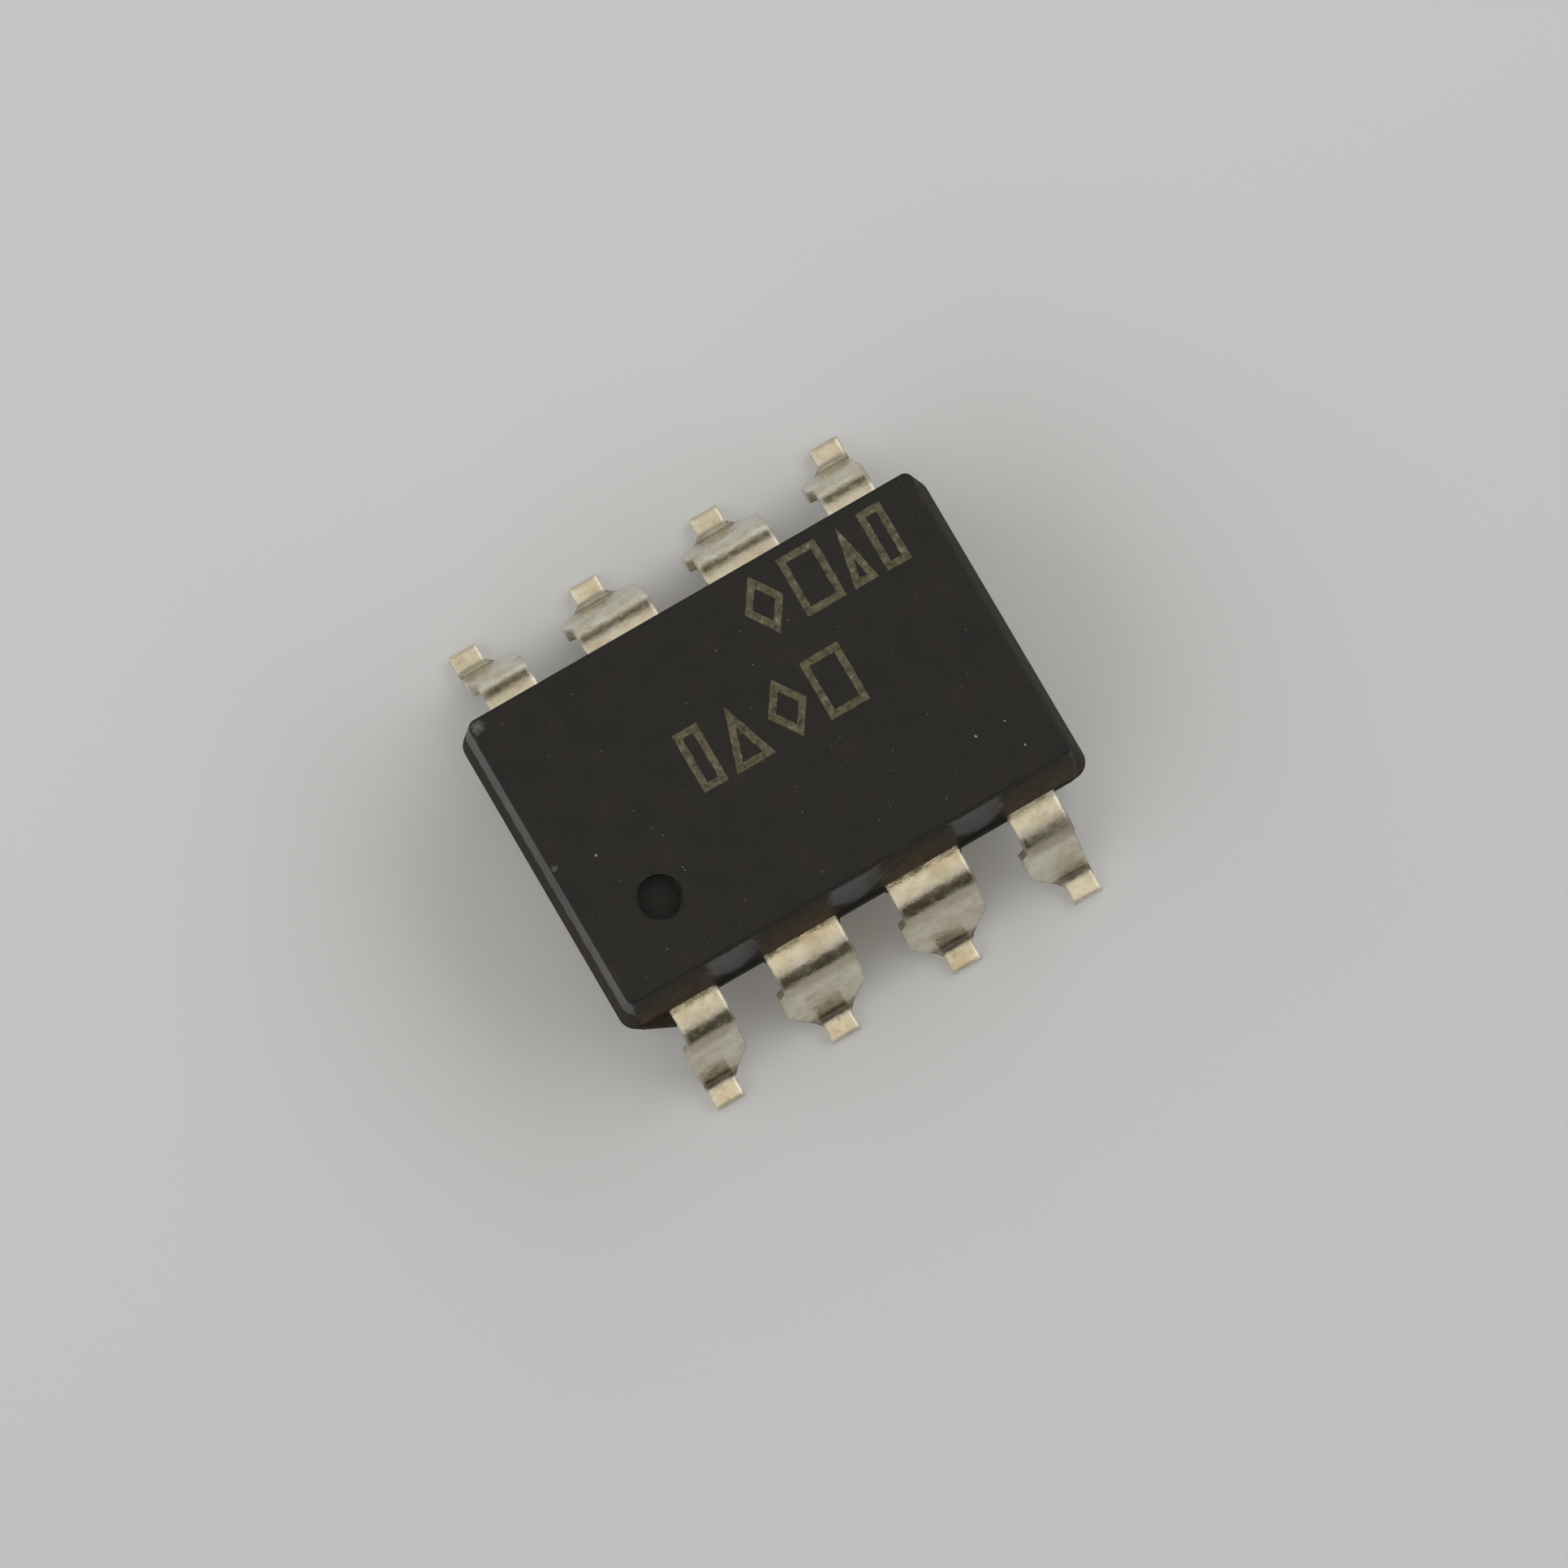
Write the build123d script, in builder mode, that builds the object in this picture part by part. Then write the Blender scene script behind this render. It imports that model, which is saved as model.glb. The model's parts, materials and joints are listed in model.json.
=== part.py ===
from build123d import *
from math import atan2, cos, radians, sin, tan
import os

# Eight pin optocoupler: a moulded dual in-line body on gull wing leads.
# The origin is on the board, under the middle of the body. X runs along the body towards pins 4
# and 5, Y runs across it towards pins 5 to 8, and Z is up. Sizes are in millimetres.

# Moulded body
body_length = 9.685
body_width = 6.32
upper_height = 1.78
lower_height = 1.78
upper_draft = 5.9
end_draft = 7.4
lower_draft = 8.5
corner_radius = 0.34
top_corner_radius = 0.16
top_edge_radius = 0.06
standoff = 0.29

# Pin 1 dimple and the two ejector marks underneath
dimple_diameter = 0.83
dimple_depth = 0.18
dimple_from_end = 1.69
dimple_from_side = 1.63
ejector_diameter = 1.20
ejector_depth = 0.04
ejector_from_end = 2.10

# Lead frame, outside the body
pitch = 2.54
pins_per_side = 4
lead_thickness = 0.254
shoulder_width = 1.505
end_shoulder_width = 0.99
end_shoulder_inset = 0.06
tip_width = 0.575
shoulder_reach = 0.665
lead_splay = 16.75
foot_length = 0.446
toe_thickness = 0.225
bend_radius = 0.76
heel_radius = 0.20

# Lead outline: dam bar stubs, which run into the taper to the tip
stub_width = 0.05
stub_top = 1.74
stub_crest = 1.64
taper_top = 0.80
taper_round = 0.34
neck_round = 0.05
neck_from_toe = 0.41
trim_shift = -0.08
first_tip_skew = 0.11
first_shoulder_skew = 0.04

# Lead frame, inside the body
finger_rise = 0.62
root_length = 0.45
finger_gap = 0.15
finger_flat = 0.51
ramp_length = 0.55
ramp_radius = 0.15
neck_width = 0.55
anchor_width = 0.80
anchor_length = 0.35
anchor_end = 0.95
finger_end_emitter = 0.35
side_finger_x = 1.75
side_finger_y = 0.30
paddle_arm_width = 0.80
emitter_paddle_reach = 0.50
emitter_paddle_width = 1.50
detector_paddle_length = 2.00
detector_paddle_width = 1.60

# Dies, glue, film and clear gel
emitter_die_size = 0.32
emitter_die_height = 0.20
detector_die_length = 1.35
detector_die_width = 1.15
detector_die_height = 0.25
glue_height = 0.025
glue_margin = 0.03
film_length = 2.40
film_width = 1.70
film_thickness = 0.05
film_corner_radius = 0.10
gel_radius_at_film = 0.60
gel_radius_at_paddle = 0.44
gel_radius_at_die = 0.46

# Bond wires
wire_diameter = 0.03
ball_diameter = 0.075
ball_height = 0.018
stitch_length = 0.09
stitch_width = 0.06
stitch_height = 0.012
loop_height = 0.11
wire_landing = 0.12
bond_pad_inset = 0.11
landing_inset = 0.16

# Resin flash left by the mould between the leads
belt_reach = 0.04
sliver_width = 0.065
sliver_length = 0.16
short_sliver_length = 0.10
web_reach = 0.28
web_start = 0.26

# Worked out from the sizes above
half_length = body_length / 2
half_width = body_width / 2
lead_z = standoff + lower_height
body_top = lead_z + upper_height
top_length = body_length - 2 * upper_height * tan(radians(end_draft))
top_width = body_width - 2 * upper_height * tan(radians(upper_draft))
row_half = pitch * (pins_per_side - 1) / 2
upper_surface = lead_z + lead_thickness / 2
bend_out = half_width + shoulder_reach
heel_out = bend_out + (upper_surface - lead_thickness) * tan(radians(lead_splay))
toe_out = heel_out + foot_length
fold_angle = (90 - lead_splay) / 2
emitter_paddle_z = lead_z + finger_rise - lead_thickness / 2
emitter_die_z = emitter_paddle_z - glue_height - emitter_die_height
detector_paddle_z = lead_z - finger_rise + lead_thickness / 2
detector_die_z = detector_paddle_z + glue_height
detector_die_top = detector_die_z + detector_die_height
film_z = (emitter_die_z + detector_die_top - film_thickness) / 2
finger_end_detector = detector_paddle_width / 2 + finger_gap
ramp_foot = finger_end_detector + finger_flat
ramp_top = ramp_foot + ramp_length


def row_plane(side, height):
    """Level plane whose Y axis points out of one long side, 1 for pins 5 to 8 and -1 for 1 to 4."""
    return Plane(origin=(0, 0, height), x_dir=(side, 0, 0), z_dir=(0, 0, 1))


def section_plane(side):
    """Upright plane across the body, with its X axis pointing out of one long side."""
    return Plane(origin=(0, 0, 0), x_dir=(0, side, 0), z_dir=(side, 0, 0))


def fold_plane(side):
    """Plane that sees a lead's shoulder, face and foot at the same slant."""
    normal = (0, side * sin(radians(fold_angle)), cos(radians(fold_angle)))
    return Plane(origin=(0, side * half_width, lead_z), x_dir=(side, 0, 0), z_dir=normal)


def down_fold(out, height):
    """Distance down the fold plane of a point, out from the body's side and at a height."""
    return out * cos(radians(fold_angle)) + (lead_z - height) * sin(radians(fold_angle))


def face_station(height):
    """The same for a point on the middle of the splayed face."""
    slope = tan(radians(lead_splay))
    middle_out = shoulder_reach - lead_thickness / 2 * (1 / cos(radians(lead_splay)) - slope)
    return down_fold(middle_out + (lead_z - height) * slope, height)


def pin_place(pin):
    """Side of the body, and the X of the pin along that side's own plane."""
    side = -1 if pin <= pins_per_side else 1
    place = (pin - 1) % pins_per_side
    return side, row_half - place * pitch


def shoulder_edges(pin):
    """Lowest and highest X of a lead's shoulder, in its side's own plane."""
    side, centre = pin_place(pin)
    if abs(centre) < row_half:
        return centre - shoulder_width / 2, centre + shoulder_width / 2
    outer = row_half + tip_width / 2 - end_shoulder_inset
    if pin == 1:
        outer -= first_shoulder_skew
    edges = (outer - end_shoulder_width, outer)
    return edges if centre > 0 else (-edges[1], -edges[0])


def tip_edges(pin):
    """Lowest and highest X of a lead's tip, with the trim tool's shift."""
    side, centre = pin_place(pin)
    skew = first_tip_skew if pin == 1 else 0
    middle = centre + side * (trim_shift + skew)
    return middle - tip_width / 2, middle + tip_width / 2


def strip_section(rise):
    """Corners and radii of a lead's bent strip, out along its upper surface and back along its lower."""
    lower_surface = upper_surface - lead_thickness
    lean = lead_thickness * tan(atan2(-rise, ramp_length) / 2)
    fold = lead_thickness * tan(radians(fold_angle))
    ramp_rounds = [ramp_radius + lead_thickness, ramp_radius]
    if rise < 0:
        ramp_rounds = ramp_rounds[::-1]
    upper = [
        (-half_width, upper_surface + rise), (ramp_foot, upper_surface + rise),
        (ramp_top, upper_surface), (bend_out, upper_surface), (heel_out, lead_thickness),
        (toe_out, toe_thickness),
    ]
    lower = [
        (-half_width, lower_surface + rise), (ramp_foot + lean, lower_surface + rise),
        (ramp_top + lean, lower_surface), (bend_out - fold, lower_surface), (heel_out - fold, 0),
        (toe_out, 0),
    ]
    upper_rounds = [0, *ramp_rounds, bend_radius, heel_radius, 0]
    lower_rounds = [
        0, *ramp_rounds[::-1], bend_radius - lead_thickness, heel_radius + lead_thickness, 0]
    return upper + lower[::-1], upper_rounds + lower_rounds[::-1]


def outer_outline(pin):
    """Corners and radii of the stamped outline from inside the body to the toe."""
    side = pin_place(pin)[0]
    low, high = shoulder_edges(pin)
    tip_low, tip_high = tip_edges(pin)
    low_stub = low - stub_width + side * trim_shift
    high_stub = high + stub_width + side * trim_shift
    root = down_fold(-root_length / 2, lead_z)
    neck = down_fold(toe_out - neck_from_toe - half_width, lead_thickness / 2)
    toe = down_fold(toe_out + lead_thickness - half_width, lead_thickness / 2)
    rounds = [0, 0, 0, taper_round, neck_round, 0]
    down = []
    for edge, stub, tip in ((high, high_stub, tip_high), (low, low_stub, tip_low)):
        down.append([
            (edge, root),
            (edge, face_station(stub_top)),
            (stub, face_station(stub_crest)),
            (stub, face_station(taper_top)),
            (tip, neck),
            (tip, toe),
        ])
    return down[0] + down[1][::-1], rounds + rounds[::-1]


def root_corners(pin):
    """The two outer corners of a lead's root, inside the body."""
    low, high = shoulder_edges(pin)
    outer = half_width - root_length / 4
    return (low, outer), (high, outer)


def anchor_outline(pin):
    """Short finger of a pin with nothing on it: a neck with a hammer head that locks in the resin."""
    low, high = shoulder_edges(pin)
    middle = (low + high) / 2
    root = half_width - root_length
    end = half_width - anchor_end
    head = end + anchor_length
    near, far = root_corners(pin)
    return [
        far, (high, root), (middle + neck_width / 2, root), (middle + neck_width / 2, head),
        (middle + anchor_width / 2, head), (middle + anchor_width / 2, end),
        (middle - anchor_width / 2, end), (middle - anchor_width / 2, head),
        (middle - neck_width / 2, head), (middle - neck_width / 2, root), (low, root), near,
    ]


def finger_outline(pin, end):
    """Straight finger that runs inwards to a landing for a bond wire."""
    low, high = shoulder_edges(pin)
    middle = (low + high) / 2
    root = half_width - root_length
    near, far = root_corners(pin)
    return [
        far, (high, root), (middle + neck_width / 2, root), (middle + neck_width / 2, end),
        (middle - neck_width / 2, end), (middle - neck_width / 2, root), (low, root), near,
    ]


def side_finger_outline(pin):
    """Finger of an end lead, which turns towards the middle of the body."""
    low, high = shoulder_edges(pin)
    middle = (low + high) / 2
    root = half_width - root_length
    turn = side_finger_y + neck_width
    near, far = root_corners(pin)
    return [
        far, (high, root), (middle + neck_width / 2, root), (middle + neck_width / 2, turn),
        (-side_finger_x, turn), (-side_finger_x, side_finger_y),
        (middle - neck_width / 2, side_finger_y), (middle - neck_width / 2, root),
        (low, root), near,
    ]


def emitter_paddle_outline(pin):
    """Finger that widens into the paddle over the middle of the body."""
    low, high = shoulder_edges(pin)
    middle = (low + high) / 2
    root = half_width - root_length
    back = -emitter_paddle_reach
    front = back + emitter_paddle_width
    near, far = root_corners(pin)
    return [
        far, (high, root), (middle + neck_width / 2, root), (middle + neck_width / 2, front),
        (emitter_paddle_reach, front), (emitter_paddle_reach, back),
        (middle - neck_width / 2, back), (middle - neck_width / 2, root), (low, root), near,
    ]


def detector_paddle_outline(pin):
    """Leg and arm of an end lead that carry the paddle under the middle of the body."""
    low, high = shoulder_edges(pin)
    root = half_width - root_length
    across = detector_paddle_length / 2
    back = -detector_paddle_width / 2
    inner_leg = high - paddle_arm_width
    arm_top = back + paddle_arm_width
    near, far = root_corners(pin)
    return [
        far, (high, root), (high, back), (-across, back), (-across, -back), (across, -back),
        (across, arm_top), (inner_leg, arm_top), (inner_leg, root), (low, root), near,
    ]


finger_outlines = {
    1: anchor_outline(1),
    2: finger_outline(2, finger_end_emitter),
    3: emitter_paddle_outline(3),
    4: anchor_outline(4),
    5: detector_paddle_outline(5),
    6: finger_outline(6, finger_end_detector),
    7: finger_outline(7, finger_end_detector),
    8: side_finger_outline(8),
}


def make_lead(pin):
    """One lead: its stamped outline, cut out of a strip bent to the lead's section."""
    side = pin_place(pin)[0]
    outline, rounds = outer_outline(pin)
    section, section_rounds = strip_section(-side * finger_rise)
    with BuildPart() as stamping:
        with BuildSketch(fold_plane(side)):
            with BuildLine():
                FilletPolyline(*outline, radius=rounds, close=True)
            make_face()
        extrude(amount=body_width, both=True)
        with BuildSketch(row_plane(side, lead_z)):
            with BuildLine():
                Polyline(*finger_outlines[pin], close=True)
            make_face()
        extrude(amount=upper_height, both=True)
    with BuildPart() as lead:
        with BuildSketch(section_plane(side)):
            with BuildLine():
                FilletPolyline(*section, radius=section_rounds, close=True)
            make_face()
        extrude(amount=body_length, both=True)
        add(stamping.part, mode=Mode.INTERSECT)
    lead.part.label = f"lead_{pin}"
    return lead.part


def make_block(label, length, width, height, bottom, radius=0):
    """Plain block over the middle of the body, such as a die or its glue."""
    with BuildPart() as block:
        with BuildSketch(Plane.XY.offset(bottom)):
            if radius:
                RectangleRounded(length, width, radius)
            else:
                Rectangle(length, width)
        extrude(amount=height)
    block.part.label = label
    return block.part


def make_gel(label, bottom, bottom_radius, top, top_radius, inside):
    """Clear silicone between a die and the film, with whatever it covers cut out of it."""
    with BuildPart() as gel:
        with BuildSketch(Plane.XY.offset(bottom)):
            Circle(bottom_radius)
        with BuildSketch(Plane.XY.offset(top)):
            Circle(top_radius)
        loft()
        for covered in inside:
            add(covered, mode=Mode.SUBTRACT)
    gel.part.label = label
    return gel.part


def make_wire(label, start, end, way):
    """Gold wire in straight runs: up (way 1) or down (-1) from its ball, across, and on to a finger."""
    run = Vector(end[0] - start[0], end[1] - start[1], 0)
    reach = run.length
    across = run.normalized()
    rise = Vector(0, 0, way)
    drop = way * (end[2] - start[2])
    section = Plane(origin=start, x_dir=across, z_dir=across.cross(rise))
    with BuildPart() as wire:
        with BuildLine(section) as loop:
            Polyline(
                (0, 0),
                (0, loop_height),
                (reach - wire_landing, drop + wire_landing),
                (reach, drop),
            )
        with BuildSketch(Plane(origin=start, z_dir=rise)):
            Circle(wire_diameter / 2)
        sweep(path=loop.line, transition=Transition.RIGHT)
        landing = Plane(origin=end, x_dir=across, z_dir=rise)
        split(bisect_by=landing, keep=Keep.TOP)
        with BuildSketch(Plane(origin=start, z_dir=rise)):
            Circle(ball_diameter / 2)
        extrude(amount=ball_height)
        with BuildSketch(landing):
            Rectangle(stitch_length, stitch_width)
        extrude(amount=stitch_height)
    wire.part.label = label
    return wire.part


def make_body(inserts):
    """Moulded block with its flash, dimple and ejector marks, cast round everything it holds."""
    with BuildPart() as body:
        with BuildSketch(Plane.XY.offset(lead_z)):
            RectangleRounded(body_length, body_width, corner_radius)
        with BuildSketch(Plane.XY.offset(body_top)):
            RectangleRounded(top_length, top_width, top_corner_radius)
        loft(ruled=True)
        with BuildSketch(Plane.XY.offset(lead_z)):
            RectangleRounded(body_length, body_width, corner_radius)
        extrude(amount=-lower_height, taper=lower_draft)
        top_face = body.faces().sort_by(Axis.Z)[-1]
        bottom_face = body.faces().sort_by(Axis.Z)[0]
        fillet([*top_face.edges(), *bottom_face.edges()], radius=top_edge_radius)
        dimple_place = (-half_length + dimple_from_end, -half_width + dimple_from_side)
        with BuildSketch(Plane.XY.offset(body_top)):
            with Locations(dimple_place):
                Circle(dimple_diameter / 2)
        extrude(amount=-dimple_depth, mode=Mode.SUBTRACT)
        ejector_x = half_length - ejector_from_end
        with BuildSketch(Plane.XY.offset(standoff)):
            with Locations((-ejector_x, 0), (ejector_x, 0)):
                Circle(ejector_diameter / 2)
        extrude(amount=ejector_depth, mode=Mode.SUBTRACT)
        for side in (-1, 1):
            with BuildSketch(row_plane(side, lead_z - lead_thickness / 2)):
                for outline in flash_outlines(side):
                    with BuildLine():
                        Polyline(*outline, close=True)
                    make_face()
            extrude(amount=lead_thickness)
        for insert in inserts:
            add(insert, mode=Mode.SUBTRACT)
    body.part.label = "moulded_body"
    return body.part


def flash_outlines(side):
    """Resin left on one side: a narrow belt, a sliver each side of a middle lead, and the corner web."""
    depth = half_width - root_length / 2
    belt_edge = half_width + belt_reach
    outlines = [[(-row_half, depth), (row_half, depth), (row_half, belt_edge), (-row_half, belt_edge)]]
    for pin in range(1, 2 * pins_per_side + 1):
        pin_side, centre = pin_place(pin)
        if pin_side != side or abs(centre) == row_half:
            continue
        low, high = shoulder_edges(pin)
        outlines.append([
            (low, depth), (low - sliver_width, half_width), (low, half_width + sliver_length)])
        outlines.append([
            (high, half_width + short_sliver_length), (high + sliver_width, half_width), (high, depth)])
    if side == -1:
        edge = shoulder_edges(1)[1]
        outlines.append([
            (edge, depth), (half_length - web_start, depth), (half_length - web_start, half_width),
            (edge, half_width + web_reach),
        ])
    return outlines


leads = [make_lead(pin) for pin in range(1, 2 * pins_per_side + 1)]

emitter_glue = make_block(
    "emitter_die_attach", emitter_die_size + 2 * glue_margin, emitter_die_size + 2 * glue_margin,
    glue_height, emitter_paddle_z - glue_height)
emitter_die = make_block(
    "emitter_die", emitter_die_size, emitter_die_size, emitter_die_height, emitter_die_z)
detector_glue = make_block(
    "detector_die_attach", detector_die_length + 2 * glue_margin,
    detector_die_width + 2 * glue_margin, glue_height, detector_paddle_z)
detector_die = make_block(
    "detector_die", detector_die_length, detector_die_width, detector_die_height, detector_die_z)
film = make_block(
    "insulating_film", film_length, film_width, film_thickness, film_z, film_corner_radius)

# Landings on the fingers, in the row frame, and the pads on the dies that they are wired to
pad_x = detector_die_length / 2 - bond_pad_inset
pad_y = detector_die_width / 2 - bond_pad_inset
finger_x = row_half - pitch
output_landing = (finger_x, finger_end_detector + landing_inset, detector_paddle_z)
enable_landing = (-finger_x, finger_end_detector + landing_inset, detector_paddle_z)
supply_landing = (
    -side_finger_x - landing_inset, side_finger_y + neck_width / 2, detector_paddle_z)
ground_landing = (
    detector_paddle_length / 2 + landing_inset, -detector_paddle_width / 4, detector_paddle_z)
anode_landing = (-finger_x, -finger_end_emitter - landing_inset, emitter_paddle_z)
wires = [
    make_wire("anode_wire", (0, 0, emitter_die_z), anode_landing, -1),
    make_wire("output_wire", (pad_x, pad_y, detector_die_top), output_landing, 1),
    make_wire("enable_wire", (-pad_x, pad_y, detector_die_top), enable_landing, 1),
    make_wire("supply_wire", (-pad_x, 0, detector_die_top), supply_landing, 1),
    make_wire("ground_wire", (pad_x, -pad_y, detector_die_top), ground_landing, 1),
]

emitter_gel = make_gel(
    "emitter_gel", film_z + film_thickness, gel_radius_at_film, emitter_paddle_z,
    gel_radius_at_paddle, [emitter_glue, emitter_die, wires[0]])
detector_gel = make_gel(
    "detector_gel", detector_die_top, gel_radius_at_die, film_z, gel_radius_at_film, [])

inner_pieces = [
    emitter_glue, emitter_die, detector_glue, detector_die, film, emitter_gel, detector_gel, *wires]
moulded_body = make_body([*leads, *inner_pieces])

os.makedirs("parts", exist_ok=True)
for piece in [moulded_body, *leads, *inner_pieces]:
    export_step(piece, f"parts/{piece.label}.step")
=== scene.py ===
import json
import math
import random
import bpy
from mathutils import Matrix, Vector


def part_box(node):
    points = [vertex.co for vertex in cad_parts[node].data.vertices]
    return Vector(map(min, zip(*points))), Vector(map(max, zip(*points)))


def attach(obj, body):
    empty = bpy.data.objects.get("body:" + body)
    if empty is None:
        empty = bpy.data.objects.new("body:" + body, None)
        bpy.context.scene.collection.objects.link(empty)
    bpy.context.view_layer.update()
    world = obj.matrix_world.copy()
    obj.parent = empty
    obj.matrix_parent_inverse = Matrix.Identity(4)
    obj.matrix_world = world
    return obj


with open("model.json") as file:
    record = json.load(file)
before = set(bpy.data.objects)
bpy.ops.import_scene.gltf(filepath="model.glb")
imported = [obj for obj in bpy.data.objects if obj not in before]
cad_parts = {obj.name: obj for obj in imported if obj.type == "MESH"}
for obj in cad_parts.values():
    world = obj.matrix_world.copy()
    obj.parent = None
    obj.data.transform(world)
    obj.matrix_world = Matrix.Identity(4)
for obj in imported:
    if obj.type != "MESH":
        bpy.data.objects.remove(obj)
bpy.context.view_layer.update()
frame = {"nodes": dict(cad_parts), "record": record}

from types import SimpleNamespace

import bpy
from mathutils import Matrix, Vector, noise

MM = 0.001
SEED = 11
random.seed(SEED)
noise.seed_set(SEED)

# Heights that come from the frame are in metres
body_low, body_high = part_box("moulded_body")
BODY_TOP = body_high.z
PARTING_HEIGHT = (body_low.z + body_high.z) / 2

# Lengths from here on are in mm. A pair of them is where a change starts and where it is complete, and four
# are a zone: its start, full from, full to, and end. A grain is features per mm, detail and roughness.
# A bump is its depth and strength.
LEAD_PITCH = 2.54

# The camera that took the photograph, worked out from it. Angles are in degrees.
CAMERA_ROLL = 29.94
CAMERA_TILT_X = 9.70
CAMERA_TILT_Y = 2.58
CAMERA_DISTANCE = 281.3
CAMERA_LENS = 356.2
SENSOR_WIDTH = 36.0
CLIP_START = 10.0
AIM_POINT = (-0.02, -0.01, 2.0)
AIM_RIGHT = 0.1957
AIM_UP = -0.518

# Floor: painted light makes it a little lighter towards the back, and it glows to lift its shadows
FLOOR_SIZE = 3000.0
FLOOR_DROP = 0.002
FLOOR_COLOUR = (0.458, 0.476, 0.503)
FLOOR_PAINTED_LIGHT_SLOPE = 0.03
FLOOR_FRONT_TO_BACK = (-8.0, 8.0)
FLOOR_CLOUDS = 0.2
FLOOR_UNEVENNESS = 0.2
FLOOR_GLOW = (0.104, 0.096, 0.083, 1)

# Sky: colours by the height of a direction, 1 straight up. The leads' bends mirror its dark parts, which
# reach from the horizon to 0.60 in front and from 0.38 to 0.66 behind.
BACKDROP_COLOUR = (0.57, 0.57, 0.56, 1)
FRONT_SKY = (
    (0.00, (0.070, 0.062, 0.050)),
    (0.60, (0.085, 0.075, 0.058)),
    (0.72, (0.62, 0.59, 0.54)),
    (0.94, (0.75, 0.69, 0.58)),
    (1.00, (0.83, 0.74, 0.59)),
)
BACK_SKY = (
    (0.00, (0.70, 0.70, 0.66)),
    (0.26, (0.70, 0.70, 0.66)),
    (0.38, (0.13, 0.12, 0.09)),
    (0.66, (0.13, 0.12, 0.09)),
    (0.78, (0.62, 0.59, 0.54)),
    (0.94, (0.75, 0.69, 0.58)),
    (1.00, (0.83, 0.74, 0.59)),
)
BACK_STARTS = (-0.05, 0.10)

# One lamp towards each end of the part: brightness, where one's gives way to the other's, the heights where
# a lamp starts and stops, and how far sideways it starts
LEFT_LAMP = 1.50
RIGHT_LAMP = 1.95
LAMP_MIDDLE = (-0.1, 0.1)
LAMP_BOTTOM = (0.30, 0.42)
LAMP_TOP = (0.93, 0.86)
LAMP_SIDES = (0.36, 0.52)

# Moulding compound
SPECK_GRAIN = (14.0, 4.0, 0.7)
SPECK_COLOURS = (
    (0.30, (0.0050, 0.0045, 0.0038)),
    (0.62, (0.0085, 0.0075, 0.0060)),
    (0.74, (0.020, 0.018, 0.014)),
    (0.86, (0.045, 0.042, 0.036)),
)
BLOTCH_GRAIN = (1.6, 4.0, 0.6)
BLOTCH_COLOURS = (
    (0.30, (0.62, 0.68, 0.70)),
    (0.50, (1.0, 1.0, 1.0)),
    (0.62, (1.35, 1.15, 0.95)),
    (0.74, (1.85, 1.78, 1.70)),
)
EDGE_GRAIN = (5.0, 4.0, 0.7)
CLOUD_GRAIN = (0.7, 3.0, 0.55)
SKIN_GRAIN = (22.0, 4.0, 0.65)
SKIN_BUMP = (0.004, 0.8)
PIT_DEPTH = 0.05
PATCH_ROUGHNESS = 0.34
DULL_ROUGHNESS = 0.95
TOP_ROUGHNESS = 0.58
COARSE_ROUGHNESS = 0.92
CLOUD_ROUGHNESS = 0.24
EDGE_ROUGHNESS = 0.14
TOP_FACE = (0.045, 0.005)
END_FACES = (4.54, 4.62)

# Dull moulding: outside the smooth patches between the leads, which end this far from a gap's middle and
# this far below the top. It stops short of the top face and of the dimple.
PATCH_SIDES = (0.45, 0.59)
PATCH_SIDE_RAGGEDNESS = 0.42
PATCH_TOPS = (0.19, 0.08)
PATCH_TOP_RAGGEDNESS = 0.30
DULL_TOPS = (0.01, 0.06)

# Coarse band above the parting line: its height on the sides and on the left end. On the sides it rises
# with the distance from a gap's middle, and has its stated height at BAND_LEVEL from there.
SIDE_BAND = 0.44
END_BAND = 0.80
BAND_LEVEL = 0.28
BAND_BLUR = 0.09
BAND_RAGGEDNESS = 0.42
BAND_COLOUR = (0.012, 0.0105, 0.008, 1)

# Painted reflection on the dull moulding: brown where it mirrors the leads near the parting line, and grey
# higher up
PAINTED_REFLECTION_GRAIN = (4.0, 4.0, 0.7)
PAINTED_REFLECTION_CONTRAST = (0.38, 0.62)
PAINTED_REFLECTION_LEAST = 0.50
PAINTED_REFLECTION_ON_ENDS = 0.30
PAINTED_REFLECTION_AT_BACK = 0.5
PAINTED_REFLECTION_FRONT_TO_BACK = (-1.0, 1.0)
PAINTED_REFLECTION_STARTS = (0.10, 0.18)
PAINTED_REFLECTION_HEIGHT = 1.7
PAINTED_REFLECTION_RAGGEDNESS = 1.2
PAINTED_REFLECTION_GREY = (0.019, 0.0165, 0.0135, 1)
PAINTED_REFLECTION_BROWN = (0.080, 0.052, 0.021, 1)

# Dimple: coarse inside, with a ragged edge
DIMPLE_CENTRE = (-3.155, -1.53)
DIMPLE_RADIUS = 0.43
DIMPLE_BLUR = 0.015
DIMPLE_RAGGEDNESS = 0.22
DIMPLE_COARSENESS = 0.75
DIMPLE_RIM = (0.50, 0.52)

# Pale spots near the edges of the top: on the back corners they are painted highlights, elsewhere scuffs of
# wear. x, y, how far below the top, and reach. The shares are of the reach.
SCUFF_AND_HIGHLIGHT_SPOTS = (
    (-4.46, 2.83, 0.0, 0.13),
    (-4.66, 2.62, 0.0, 0.08),
    (4.64, 2.78, 0.20, 0.11),
    (-4.54, -0.13, 0.0, 0.06),
    (-4.66, 1.37, 0.40, 0.08),
)
SCUFF_AND_HIGHLIGHT_SHARES = (1.2, 0.2)
SCUFF_AND_HIGHLIGHT_RAGGEDNESS = 3.0
SCUFF_AND_HIGHLIGHT_PALENESS = 0.8
SCUFF_AND_HIGHLIGHT_COLOUR = (0.13, 0.126, 0.118, 1)

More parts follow.
